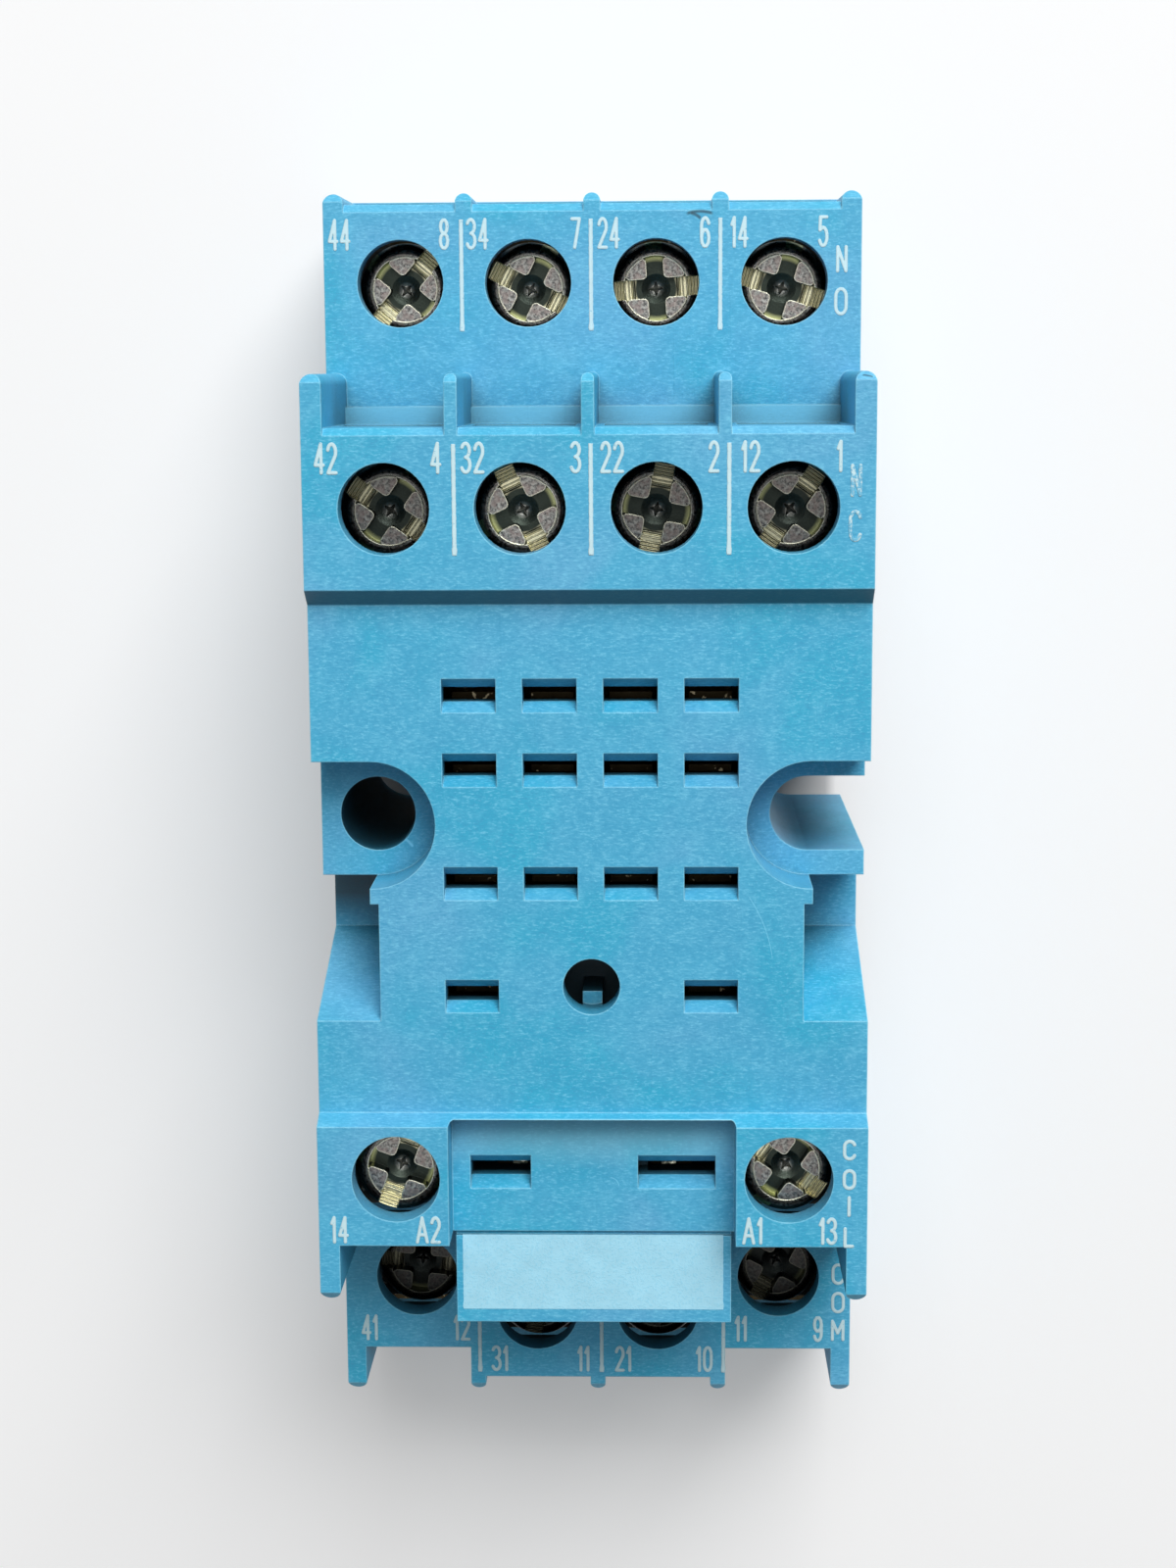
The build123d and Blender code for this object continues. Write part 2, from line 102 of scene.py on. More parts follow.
# Painted glint colour at the outer ends of the screws' cross
OLIVE_HIGHLIGHT = (0.42, 0.44, 0.22)
GOLD = (0.78, 0.74, 0.50)
ZINC = (0.10, 0.10, 0.09)
# Nearly black brass: painted shade of the deep slots that hold the strips
BRASS = (0.045, 0.034, 0.018)
BRASS_GLINT = (0.75, 0.64, 0.42)
FLOOR = (0.72, 0.72, 0.72)
FLOOR_GLOW = 0.28
FLOOR_FADE_START = 150 * MM
FLOOR_FADE_END = 500 * MM

# Marks of use on the housing: x, y, angle of the bend, radius of the bend, width and reach, in mm
SCRATCHES = (
    (9.5, -5.6, 21, 8.0, 0.03, 2.0),
    (1.3, -20.6, 45, 0.5, 0.035, 0.4),
    (-10.4, -1.6, 45, 3.0, 0.10, 0.45),
)
# Nicks are drawn as dark patches: painted shade of small dents
NICKS = (
    (6.1, 33.38, 90, 2.2, 0.12, 0.8),
    (5.9, 33.18, 60, 1.0, 0.12, 0.35),
    (14.75, 24.2, 80, 2.0, 0.05, 0.3),
)

# Levels of the printed faces above the back plane
LOW_TIER = 15.8 * MM
HIGH_TIER = 27.2 * MM
RECESS = 24.6 * MM
STEP = 16.6 * MM
INK_THICKNESS = 0.02 * MM

TERMINALS = ("44", "34", "24", "14", "42", "32", "22", "12", "41", "31", "21", "11", "a2", "a1")

# Slot angles of the screws, in degrees from +X
SCREW_ANGLES = {
    "44": 50, "34": -27, "24": 4, "14": -17,
    "42": -35, "32": -65, "22": 79, "12": 55,
    "41": -6, "31": 80, "21": 25, "11": 62,
    "a2": 70, "a1": -35,
}

# Screws that are not bright: dull ones in the upper tier, darkened halfway towards black, and ones in the shaded lower
# tier, darkened nearly to black as painted shade
SCREW_FINISH = {
    "42": "dull", "22": "dull", "12": "dull",
    "41": "shaded_tier", "31": "shaded_tier", "21": "shaded_tier", "11": "shaded_tier",
}


# Small tools

def link(obj):
    bpy.context.scene.collection.objects.link(obj)
    return obj


def mesh_object(name, mesh, material, body):
    """New piece with one material, riding on a body of the frame."""
    obj = link(bpy.data.objects.new(name, mesh))
    if not mesh.materials:
        mesh.materials.append(material)
    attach(obj, body)
    return obj


class Shader:
    """One material's node tree, with short calls for the nodes used here."""

    def __init__(self, name):
        self.material = bpy.data.materials.new(name)
        self.material.use_nodes = True
        self.tree = self.material.node_tree
        self.tree.nodes.clear()
        self.place = self.node("ShaderNodeTexCoord").outputs["Object"]

    def node(self, kind, inputs=None, **settings):
        made = self.tree.nodes.new(kind)
        for name, value in settings.items():
            setattr(made, name, value)
        for name, value in (inputs or {}).items():
            self.put(made.inputs[name], value)
        return made

    def put(self, socket, value):
        """Links a node's output to a socket, or sets a constant on it."""
        if isinstance(value, bpy.types.NodeSocket):
            self.tree.links.new(value, socket)
        elif isinstance(value, tuple) and len(value) == 3 and socket.type == "RGBA":
            socket.default_value = (*value, 1)
        else:
            socket.default_value = value

    def noise(self, size, detail=2.0, roughness=0.5, stretch=None, distortion=0.0):
        """Noise whose features are about one size, in metres."""
        place = self.place
        if stretch:
            place = self.node("ShaderNodeMapping", {"Vector": place, "Scale": stretch}).outputs[0]
        inputs = {
            "Vector": place, "Scale": 1 / size, "Detail": detail,
            "Roughness": roughness, "Distortion": distortion,
        }
        return self.node("ShaderNodeTexNoise", inputs).outputs["Fac"]

    def cells(self, size, feature="F1"):
        inputs = {"Vector": self.place, "Scale": 1 / size}
        return self.node("ShaderNodeTexVoronoi", inputs, feature=feature).outputs["Distance"]

    def ramp(self, value, low, high, to_low=0.0, to_high=1.0):
        inputs = {
            "Value": value, "From Min": low, "From Max": high, "To Min": to_low, "To Max": to_high,
        }
        return self.node("ShaderNodeMapRange", inputs).outputs[0]

    def math(self, operation, first, second=0.0):
        made = self.node("ShaderNodeMath", operation=operation)
        self.put(made.inputs[0], first)
        self.put(made.inputs[1], second)
        return made.outputs[0]

    def level(self):
        """Mask that is 1 on faces that look straight up and 0 on walls."""
        normal = self.node("ShaderNodeNewGeometry").outputs["Normal"]
        return self.ramp(self.node("ShaderNodeSeparateXYZ", {"Vector": normal}).outputs["Z"], 0.8, 0.95)

    def axes(self):
        """X, Y and Z in the object's own frame."""
        return self.node("ShaderNodeSeparateXYZ", {"Vector": self.place}).outputs

    def product(self, *values):
        """Product of several masks."""
        total = values[0]
        for value in values[1:]:
            total = self.math("MULTIPLY", total, value)
        return total

    def mix(self, share, first, second):
        """Colour from first, at share 0, to second, at share 1."""
        made = self.node("ShaderNodeMix", data_type="RGBA")
        self.put(made.inputs[0], share)
        self.put(made.inputs[6], first)
        self.put(made.inputs[7], second)
        return made.outputs[2]

    def bump(self, height, distance, strength=1.0, normal=None):
        inputs = {"Height": height, "Distance": distance, "Strength": strength}
        if normal is not None:
            inputs["Normal"] = normal
        return self.node("ShaderNodeBump", inputs).outputs[0]

    def rounded(self, radius):
        """Normal that is rounded over edges."""
        return self.node("ShaderNodeBevel", {"Radius": radius}, samples=4).outputs[0]

    def edges(self, radius, low=0.02, high=0.35):
        """Mask that is 1 along edges and 0 on flats."""
        flat = self.node("ShaderNodeNewGeometry").outputs["Normal"]
        dot = self.node("ShaderNodeVectorMath", operation="DOT_PRODUCT")
        self.put(dot.inputs[0], flat)
        self.put(dot.inputs[1], self.rounded(radius))
        return self.ramp(self.math("SUBTRACT", 1.0, dot.outputs["Value"]), low, high)

    def hollow(self, distance, low, high):
        """Mask that is 1 deep in cavities and 0 in the open."""
        open_share = self.node("ShaderNodeAmbientOcclusion", {"Distance": distance}, samples=6).outputs["AO"]
        return self.ramp(open_share, high, low)

    def finish(self, **inputs):
        shader = self.node("ShaderNodeBsdfPrincipled", {
            name.replace("_", " "): value for name, value in inputs.items()})
        self.node("ShaderNodeOutputMaterial", {"Surface": shader.outputs[0]})
        return self.material


# Materials

def arc_mark(shader, x, y, angle, radius, width, reach):
    """Mask of a short bent scratch through a point; angle points away from the bend's centre."""
    place = shader.axes()
    flat = shader.node("ShaderNodeCombineXYZ", {"X": place["X"], "Y": place["Y"]}).outputs[0]
    turn = math.radians(angle)
    centre = (x - radius * math.cos(turn), y - radius * math.sin(turn), 0.0)
    away = shader.node("ShaderNodeVectorMath", {0: flat, 1: centre}, operation="DISTANCE").outputs["Value"]
    line = shader.ramp(shader.math("ABSOLUTE", shader.math("SUBTRACT", away, radius)), width, width * 0.4)
    near = shader.node("ShaderNodeVectorMath", {0: flat, 1: (x, y, 0.0)}, operation="DISTANCE").outputs["Value"]
    return shader.product(line, shader.ramp(near, reach, reach * 0.8))


def plastic_layers(shader, colour):
    """Colour, roughness and normal of the moulded plastic: cloudy, finely flecked and worn, with painted highlights
    along edges, on the step and in the recess, and painted shade on a bevel, in hollows and in a side pocket.
    """
    tint = shader.noise(9 * MM, detail=3.0, roughness=0.45, distortion=0.4)
    cloud = shader.noise(3 * MM, detail=4.0)
    patch = shader.noise(1.3 * MM, detail=4.0, roughness=0.6, distortion=0.5)
    grain = shader.noise(0.11 * MM, detail=3.0, roughness=0.65, stretch=(0.35, 1.0, 1.0))
    fleck = shader.noise(0.12 * MM, detail=1.5, roughness=0.6, stretch=(0.6, 1.0, 1.0))
    base = shader.mix(shader.ramp(tint, 0.38, 0.48), BLUE_TEAL, colour)
    base = shader.mix(shader.ramp(tint, 0.52, 0.64), base, BLUE_MILKY)
    base = shader.mix(shader.ramp(cloud, 0.35, 0.68, 0.0, 0.35), base, BLUE_SHADE)
    base = shader.mix(shader.ramp(patch, 0.48, 0.72, 0.0, 0.24), base, BLUE_LIGHT)
    base = shader.mix(shader.ramp(grain, 0.48, 0.32, 0.0, 0.7), base, BLUE_SHADE)
    base = shader.mix(shader.ramp(grain, 0.53, 0.68, 0.0, 0.6), base, BLUE_LIGHT)
    base = shader.mix(shader.ramp(fleck, 0.61, 0.72, 0.0, 0.35), base, BLUE_LIGHT)
    # Pale edges: partly worn plastic, partly a painted highlight along the rims
    edge_wear_and_highlight = shader.product(shader.edges(0.13 * MM, 0.01, 0.14), shader.ramp(patch, 0.3, 0.6, 0.45, 1.0))
    base = shader.mix(edge_wear_and_highlight, base, BLUE_WEAR_AND_HIGHLIGHT)
    place = shader.axes()
    # Painted light: lightens the flat step at the foot of the wall
    step_painted_light = shader.product(
        shader.ramp(place["Z"], STEP - 0.1 * MM, STEP), shader.ramp(place["Z"], STEP + 0.2 * MM, STEP + 0.1 * MM),
        shader.ramp(place["Y"], 20.0 * MM, 20.1 * MM), shader.level())
    base = shader.mix(shader.product(step_painted_light, 0.75), base, BLUE_LIGHT)
    # Painted light: lightens the recess floor nearest its upper wall, where that wall's shadow falls
    recess_painted_light = shader.product(
        shader.ramp(place["Z"], RECESS - 0.1 * MM, RECESS), shader.ramp(place["Z"], RECESS + 0.2 * MM, RECESS + 0.1 * MM),
        shader.ramp(place["Y"], -20.0 * MM, -18.0 * MM), shader.level())
    base = shader.mix(shader.product(recess_painted_light, 0.45), base, BLUE_WEAR_AND_HIGHLIGHT)
    # Painted shade on the bevel up to the high tier, which faces away from the key light
    bevel_painted_shade = shader.product(
        shader.ramp(place["Z"], RECESS + 1.45 * MM, RECESS + 1.5 * MM), shader.ramp(place["Z"], 27.19 * MM, 27.1 * MM),
        shader.ramp(place["Y"], 11.6 * MM, 11.8 * MM), shader.ramp(place["Y"], 14.2 * MM, 14.0 * MM))
    base = shader.mix(shader.product(bevel_painted_shade, 0.7), base, BLUE_PAINTED_SHADE)
    # Painted shade: darkens deep cavities by an occlusion mask, less of it on the high faces
    openness = shader.ramp(place["Z"], LOW_TIER + 5 * MM, RECESS - 1 * MM, 0.45, 0.25)
    base = shader.mix(shader.hollow(8 * MM, 0.14, openness), base, BLUE_PAINTED_SHADE)
    # Painted shade in the side pocket
    pocket_painted_shade = shader.product(
        shader.ramp(place["X"], -11.6 * MM, -11.8 * MM), shader.ramp(place["Y"], -3.4 * MM, -3.6 * MM),
        shader.ramp(place["Y"], -7.7 * MM, -5.6 * MM), shader.ramp(place["Z"], 23.0 * MM, 19.0 * MM),
        shader.ramp(place["Z"], 16.6 * MM, 16.75 * MM))
    base = shader.mix(shader.product(pocket_painted_shade, 0.9), base, BLUE_PAINTED_SHADE)
    rough = shader.ramp(grain, 0.2, 0.8, 0.40, 0.60)
    scratch = shader.noise(0.5 * MM, detail=3.0, stretch=(1.0, 0.06, 1.0), distortion=0.4)
    height = shader.math("ADD", grain, shader.ramp(scratch, 0.62, 0.7, 0.0, 0.6))
    normal = shader.bump(height, 0.014 * MM, 0.6, shader.rounded(0.09 * MM))
    return base, rough, normal


def plastic(name, colour, scratches=(), nicks=()):
    """Moulded plastic with pale scratches, and nicks in the painted shade colour of a dent, each as the sizes of an
    arc mark.
    """
    shader = Shader(name)
    base, rough, normal = plastic_layers(shader, colour)
    # Scratches are paler; nicks get the painted shade colour
    for marks, tone in ((scratches, BLUE_LIGHT), (nicks, BLUE_PAINTED_SHADE)):
        for x, y, angle, radius, width, reach in marks:
            mask = arc_mark(shader, x * MM, y * MM, angle, radius * MM, width * MM, reach * MM)
            base = shader.mix(shader.product(mask, 0.75), base, tone)
    return shader.finish(Base_Color=base, Roughness=rough, Normal=normal)


def ink(name, worn_from):
    """Pad-printed ink, thin and partly rubbed off; a lower worn_from leaves less of it."""
    shader = Shader(name)
    base, rough, normal = plastic_layers(shader, BLUE)
    worn = shader.ramp(shader.noise(0.22 * MM, detail=3.0, roughness=0.7), worn_from, worn_from + 0.1)
    tone = shader.mix(shader.noise(0.6 * MM), INK, tuple(c * 0.88 for c in INK))
    colour = shader.mix(shader.product(worn, 0.9), tone, base)
    return shader.finish(Base_Color=colour, Roughness=rough, Normal=normal)


def label_face():
    """Pale rub-off field of the label carrier, speckled by use."""
    shader = Shader("label_face")
    speck = shader.ramp(shader.noise(0.13 * MM, detail=3.0, roughness=0.7), 0.50, 0.60)
    cloud = shader.noise(1.2 * MM, detail=3.0)
    tone = shader.mix(shader.ramp(cloud, 0.3, 0.7), LABEL, tuple(c * 0.9 for c in LABEL))
    colour = shader.mix(shader.product(speck, 0.3), tone, BLUE_LIGHT)
    rough = shader.ramp(cloud, 0.3, 0.7, 0.5, 0.7)
    normal = shader.bump(speck, 0.01 * MM, 0.6)
    return shader.finish(Base_Color=colour, Roughness=rough, Normal=normal)


def plated_steel(name, shine):
    """Zinc-plated screw: speckled lands, golden slot ends, painted highlights on the rims and at the arms' ends,
    painted shade on the dome, recess and ridge grooves, all darkened towards black as shine falls.
    """
    shader = Shader(name)
    place = shader.axes()
    flat = shader.node("ShaderNodeCombineXYZ", {"X": place["X"], "Y": place["Y"]}).outputs[0]
    radius = shader.node("ShaderNodeVectorMath", {0: flat}, operation="LENGTH").outputs["Value"]
    blotch = shader.noise(0.16 * MM, detail=3.0, roughness=0.7)
    grain = shader.noise(0.07 * MM, detail=2.0)
    tone = shader.mix(shader.ramp(blotch, 0.40, 0.62), STEEL_DARK, STEEL)
    tone = shader.mix(shader.ramp(shader.noise(0.4 * MM), 0.45, 0.6, 0.0, 0.6), tone, STEEL_PINK)
    on_head = shader.ramp(place["Z"], -SCREW_HEAD - 0.2 * MM, -SCREW_HEAD)
    # Painted shade over the dome, pan and recess of the head
    deep = shader.product(shader.ramp(place["Z"], -0.06 * MM, -0.16 * MM), on_head)
    tone = shader.mix(deep, tone, STEEL_PAINTED_SHADE)
    in_slot = shader.ramp(shader.math("ABSOLUTE", place["Y"]), SLOT_HALF * 1.1, SLOT_HALF * 1.02)
    ends = shader.product(deep, in_slot, shader.ramp(radius, 1.15 * MM, 1.35 * MM))
    # Gold slot ends, with painted shade in the grooves between the ridges
    ridge = shader.math("FRACT", shader.math("DIVIDE", shader.math("ABSOLUTE", place["X"]), RIDGE_PITCH))
    straw = shader.mix(shader.ramp(ridge, 0.62, 0.85, 0.0, 0.85), GOLD, STEEL_PAINTED_SHADE)
    tone = shader.mix(ends, tone, straw)
    # Painted glint at the outer ends of the cross's arms
    in_arm = shader.ramp(shader.math("ABSOLUTE", place["X"]), ARM_HALF * 1.1, ARM_HALF * 1.02)
    glow = shader.product(deep, in_arm, shader.ramp(radius, PAN_RADIUS * 0.82, PAN_RADIUS * 0.97))
    tone = shader.mix(glow, tone, OLIVE_HIGHLIGHT)
    core = shader.product(deep, shader.ramp(radius, STAR_RADIUS * 0.9, STAR_RADIUS * 0.2))
    tone = shader.mix(shader.product(core, 0.8), tone, STEEL)
    # Painted highlight along the rims of the lands
    rim_highlight = shader.product(shader.edges(0.11 * MM, 0.005, 0.10), shader.ramp(place["Z"], -0.5 * MM, -0.25 * MM))
    tone = shader.mix(rim_highlight, tone, STEEL_PAINTED_HIGHLIGHT)
    # Darkens the whole screw towards black as shine falls; the lower tier's copy is painted shade
    tone = shader.mix(shine, STEEL_BLACK, tone)
    rough = shader.ramp(blotch, 0.3, 0.7, 0.24, 0.42)
    normal = shader.bump(shader.math("ADD", blotch, grain), 0.012 * MM, 0.8, shader.rounded(0.05 * MM))
    return shader.finish(Base_Color=tone, Metallic=1.0, Roughness=rough, Normal=normal)


def stamped_metal(name, colour, streak_size, glint, glint_band_x=None):
    """Rolled and stamped sheet metal with faint streaks, darker stains and a few bright glints.

    A painted glint lies in a narrow band at glint_band_x, on both sides of the mid-plane, with dents in its bump.
    """
    shader = Shader(name)
    streak = shader.noise(streak_size, detail=3.0, stretch=(1.0, 0.08, 1.0))
    stain = shader.noise(1.2 * MM, detail=4.0, roughness=0.6)
    tone = shader.mix(shader.ramp(stain, 0.4, 0.7), colour, tuple(c * 0.6 for c in colour))
    tone = shader.mix(shader.ramp(shader.noise(0.35 * MM, detail=2.0), 0.66, 0.72), tone, glint)
    rough = shader.ramp(streak, 0.3, 0.7, 0.28, 0.5)
    normal = shader.bump(streak, 0.006 * MM, 0.7, shader.rounded(0.05 * MM))
    # Painted glint: a bright band with dents in its bump
    if glint_band_x:
        side = shader.math("ABSOLUTE", shader.axes()["X"])
        away = shader.math("ABSOLUTE", shader.math("SUBTRACT", side, glint_band_x))
        band = shader.ramp(away, 0.5 * MM, 0.4 * MM)
        tone = shader.mix(band, tone, STEEL_PAINTED_HIGHLIGHT)
        dents = shader.math("MULTIPLY", band, shader.noise(0.5 * MM, detail=1.0))
        normal = shader.bump(dents, 0.25 * MM, 1.0, normal)
    return shader.finish(Base_Color=tone, Metallic=1.0, Roughness=rough, Normal=normal)


# Detailed terminal screw

SCREW_HEAD = 1.7 * MM
HEAD_RADIUS = 2.7 * MM
DOME_HEIGHT = 1.2 * MM
RIM_RADIUS = 1.92 * MM
PAN_RADIUS = 1.86 * MM
PAN_DEPTH = 0.8 * MM
RECESS_RADIUS = 0.85 * MM
RECESS_DEPTH = 1.05 * MM
SHANK_RADIUS = 1.5 * MM
SHANK_LENGTH = 4.6 * MM
THREAD_PITCH = 0.5 * MM
THREAD_DEPTH = 0.27 * MM
SLOT_HALF = 0.54 * MM
SLOT_DEPTH = 0.95 * MM
SLOT_END_DEPTH = 0.3 * MM
SLOT_END_START = 1.2 * MM
RIDGE_PITCH = 0.18 * MM
ARM_HALF = 0.48 * MM
LAND_CORNER = 0.26 * MM
STAR_RADIUS = 0.56 * MM
STAR_WAIST = 0.17 * MM
STAR_HEIGHT = 0.3 * MM


def arc(x, y, across, up, start, end, steps=10):
    """Points on part of an ellipse, between two angles in degrees."""
    angles = [math.radians(start + (end - start) * i / steps) for i in range(steps + 1)]
    return [(x + across * math.cos(a), y + up * math.sin(a)) for a in angles]


def stroke_outlines(line, width):
    """Discs and bars that together draw a line of one width with round joins."""
    shapes = [arc(x, y, width / 2, width / 2, 0, 330) for x, y in line]
    for first, second in zip(line, line[1:]):
        first, second = Vector(first), Vector(second)
        along = (second - first).normalized() * width / 2
        across = Vector((-along.y, along.x))
        shapes.append([first - across, second - across, second + across, first + across])
    return shapes


def fill(work, shapes, unit=1.0):
    """Adds the union of flat outlines at z = 0; unit turns their lengths into metres."""
    points = [Vector(point) for shape in shapes for point in shape]
    faces = []
    start = 0
    for shape in shapes:
        faces.append(list(range(start, start + len(shape))))
        start += len(shape)
    made = delaunay_2d_cdt(points, [], faces, 1, 0.0001)
    corners = {}
    for face, source in zip(made[2], made[5]):
        if not source:
            continue
        for i in face:
            if i not in corners:
                corners[i] = work.verts.new((made[0][i].x * unit, made[0][i].y * unit, 0))
        work.faces.new([corners[i] for i in face])


def thicken(work, low, high):
    """Turns flat faces at z = 0 into a closed layer between two heights."""
    made = bmesh.ops.extrude_face_region(work, geom=work.faces[:])
    raised = [g for g in made["geom"] if isinstance(g, bmesh.types.BMVert)]
    bmesh.ops.translate(work, verts=raised, vec=(0, 0, high - low))
    bmesh.ops.translate(work, verts=work.verts, vec=(0, 0, low))
    bmesh.ops.recalc_face_normals(work, faces=work.faces)


def lathe(profile, steps):
    """Surface of revolution about Z from points (radius, z); both ends lie on the axis."""
    work = bmesh.new()
    rings = []
    for radius, z in profile:
        if radius == 0:
            rings.append([work.verts.new((0, 0, z))])
            continue
        angles = [2 * math.pi * i / steps for i in range(steps)]
        rings.append([work.verts.new((radius * math.cos(a), radius * math.sin(a), z)) for a in angles])
    for low, high in zip(rings, rings[1:]):
        for i in range(steps):
            j = (i + 1) % steps
            corners = [low[i % len(low)], low[j % len(low)], high[j % len(high)], high[i % len(high)]]
            work.faces.new(list(dict.fromkeys(corners)))
    bmesh.ops.recalc_face_normals(work, faces=work.faces)
    mesh = bpy.data.meshes.new("lathe")
    work.to_mesh(mesh)
    work.free()
    return mesh


def ramp_mesh(inner, outer, half_width, low, high, top):
    """Slot end whose floor rises outwards from low to high in small ridges across the slot."""
    steps = round(abs(outer - inner) / RIDGE_PITCH)
    floor = []
    for i in range(steps + 1):
        share = i / steps
        x = inner + (outer - inner) * share
        z = low + (high - low) * share
        floor.append((x, z))
        if i < steps:
            floor.append((x + (outer - inner) / steps * 0.4, z + (high - low) / steps * 1.8))
    outline = [(inner, top)] + floor + [(outer, top)]
    work = bmesh.new()
    near = [work.verts.new((x, -half_width, z)) for x, z in outline]
    far = [work.verts.new((x, half_width, z)) for x, z in outline]
    work.faces.new(near)
    work.faces.new(list(reversed(far)))
    for i in range(len(outline)):
        j = (i + 1) % len(outline)
        work.faces.new((near[i], far[i], far[j], near[j]))
    bmesh.ops.recalc_face_normals(work, faces=work.faces)
    mesh = bpy.data.meshes.new("ramp")
    work.to_mesh(mesh)
    work.free()
    return mesh


def star_mesh():
    """Four-pointed pyramid on the floor of the recess."""
    work = bmesh.new()
    low = []
    for i in range(8):
        radius = STAR_WAIST if i % 2 else STAR_RADIUS
        angle = math.pi / 4 * i
        low.append(work.verts.new((radius * math.cos(angle), radius * math.sin(angle), -RECESS_DEPTH)))
    tip = work.verts.new((0, 0, STAR_HEIGHT - RECESS_DEPTH))
    for i in range(8):
        work.faces.new((low[i], low[(i + 1) % 8], tip))
    work.faces.new(list(reversed(low)))
    mesh = bpy.data.meshes.new("star")
    work.to_mesh(mesh)
    work.free()
    return mesh


def lands_mesh():
    """The four flat lands between the slot and the arms of the cross, with rounded corners."""
    work = bmesh.new()
    near_x = (ARM_HALF + LAND_CORNER) / MM
    near_y = (SLOT_HALF + LAND_CORNER) / MM
    reach = (RIM_RADIUS - LAND_CORNER) / MM
    start = math.degrees(math.asin(near_y / reach))
    end = math.degrees(math.acos(near_x / reach))
    for side_x, side_y in ((1, 1), (-1, 1), (-1, -1), (1, -1)):
        outline = [(near_x, near_y)] + arc(0, 0, reach, reach, start, end)
        outline = [(x * side_x, y * side_y) for x, y in outline]
        if side_x != side_y:
            outline.reverse()
        shapes = stroke_outlines(outline + outline[:1], 2 * LAND_CORNER / MM)
        fill(work, shapes + [outline], MM)
    thicken(work, -PAN_DEPTH - 0.05 * MM, 0)
    mesh = bpy.data.meshes.new("lands")
    work.to_mesh(mesh)
    work.free()
    return mesh


def carve(mesh, cutters):
    """Mesh with each cutter mesh cut out of it."""
    body = link(bpy.data.objects.new("carve", mesh))
    tools = []
    for cutter in cutters:
        tool = link(bpy.data.objects.new("cutter", cutter))
        tools.append(tool)
        modifier = body.modifiers.new("cut", "BOOLEAN")
        modifier.object = tool
        modifier.operation = "DIFFERENCE"
        modifier.solver = "EXACT"
    bpy.context.view_layer.update()
    shape = body.evaluated_get(bpy.context.evaluated_depsgraph_get())
    result = bpy.data.meshes.new_from_object(shape)
    for obj in tools + [body]:
        bpy.data.objects.remove(obj)
    return result


def threaded_shank():
    """Shank with a helical thread, down from the head's underside."""
    steps = 28
    turns = int((SHANK_LENGTH - THREAD_PITCH) / THREAD_PITCH)
    profile = ((0.0, 0.0), (0.18, 0.0), (0.5, 1.0), (0.82, 0.0))
    work = bmesh.new()
    columns = []
    for i in range(turns * steps + 1):
        angle = 2 * math.pi * i / steps
        start = -SHANK_LENGTH + THREAD_PITCH * i / steps
        column = []
        for share, cut in profile + ((1.0, 0.0),):
            radius = SHANK_RADIUS - THREAD_DEPTH * cut
            z = start + THREAD_PITCH * share
            column.append(work.verts.new((radius * math.cos(angle), radius * math.sin(angle), z)))
        columns.append(column)
    for first, second in zip(columns, columns[1:]):
        for k in range(len(profile)):
            work.faces.new((first[k], second[k], second[k + 1], first[k + 1]))
    bmesh.ops.remove_doubles(work, verts=work.verts, dist=THREAD_PITCH * 0.01)
    mesh = bpy.data.meshes.new("thread")
    work.to_mesh(mesh)
    work.free()
    return mesh


def screw_mesh(material):
    """Domed head with slot, cross, star core and ridged slot ends; the head's top is at z = 0."""
    dome = arc(RIM_RADIUS, -DOME_HEIGHT, HEAD_RADIUS - RIM_RADIUS, DOME_HEIGHT, 0, 90)
    profile = [
        (0, -SCREW_HEAD - SHANK_LENGTH),
        (SHANK_RADIUS - THREAD_DEPTH, -SCREW_HEAD - SHANK_LENGTH),
        (SHANK_RADIUS - THREAD_DEPTH, -SCREW_HEAD),
        (HEAD_RADIUS, -SCREW_HEAD),
        *dome,
        (PAN_RADIUS, 0),
        (PAN_RADIUS - 0.05 * MM, -PAN_DEPTH),
        (RECESS_RADIUS, -PAN_DEPTH),
        (RECESS_RADIUS * 0.3, -RECESS_DEPTH),
        (0, -RECESS_DEPTH),
    ]
    cutters = []
    for side in (-1, 1):
        end = side * (HEAD_RADIUS + 0.3 * MM)
        cutters.append(ramp_mesh(side * SLOT_END_START, end, SLOT_HALF, -SLOT_DEPTH, -SLOT_END_DEPTH, MM))
    head = carve(lathe(profile, 72), cutters)
    thread = threaded_shank()
    thread.transform(Matrix.Translation((0, 0, -SCREW_HEAD)))
    work = bmesh.new()
    for part in (head, lands_mesh(), star_mesh(), thread):
        work.from_mesh(part)
    mesh = bpy.data.meshes.new("screw")
    work.to_mesh(mesh)
    work.free()
    mesh.materials.append(material)
    return mesh


def add_screws():
    """One detailed screw in place of each plain one, some of them duller and some darkened as painted shade."""
    meshes = {}
    for finish, shine in (("bright", 1.0), ("dull", 0.5), ("shaded_tier", 0.12)):
        meshes[finish] = screw_mesh(plated_steel("steel_" + finish, shine))
    for name in TERMINALS:
        mesh = meshes[SCREW_FINISH.get(name, "bright")]
        node = "terminal_screw_" + name
        low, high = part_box(node)
        screw = link(bpy.data.objects.new("screw_" + name, mesh))
        place = Vector(((low.x + high.x) / 2, (low.y + high.y) / 2, high.z))
        screw.matrix_world = Matrix.Translation(place) @ Matrix.Rotation(
            math.radians(SCREW_ANGLES[name]), 4, "Z")
        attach(screw, "screw_" + name)
        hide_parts(node)


# Printed lettering and lines

OVAL = arc(0.5, 0.7, 0.5, 0.3, 0, 180) + arc(0.5, 0.3, 0.5, 0.3, 180, 360) + [(1, 0.7)]

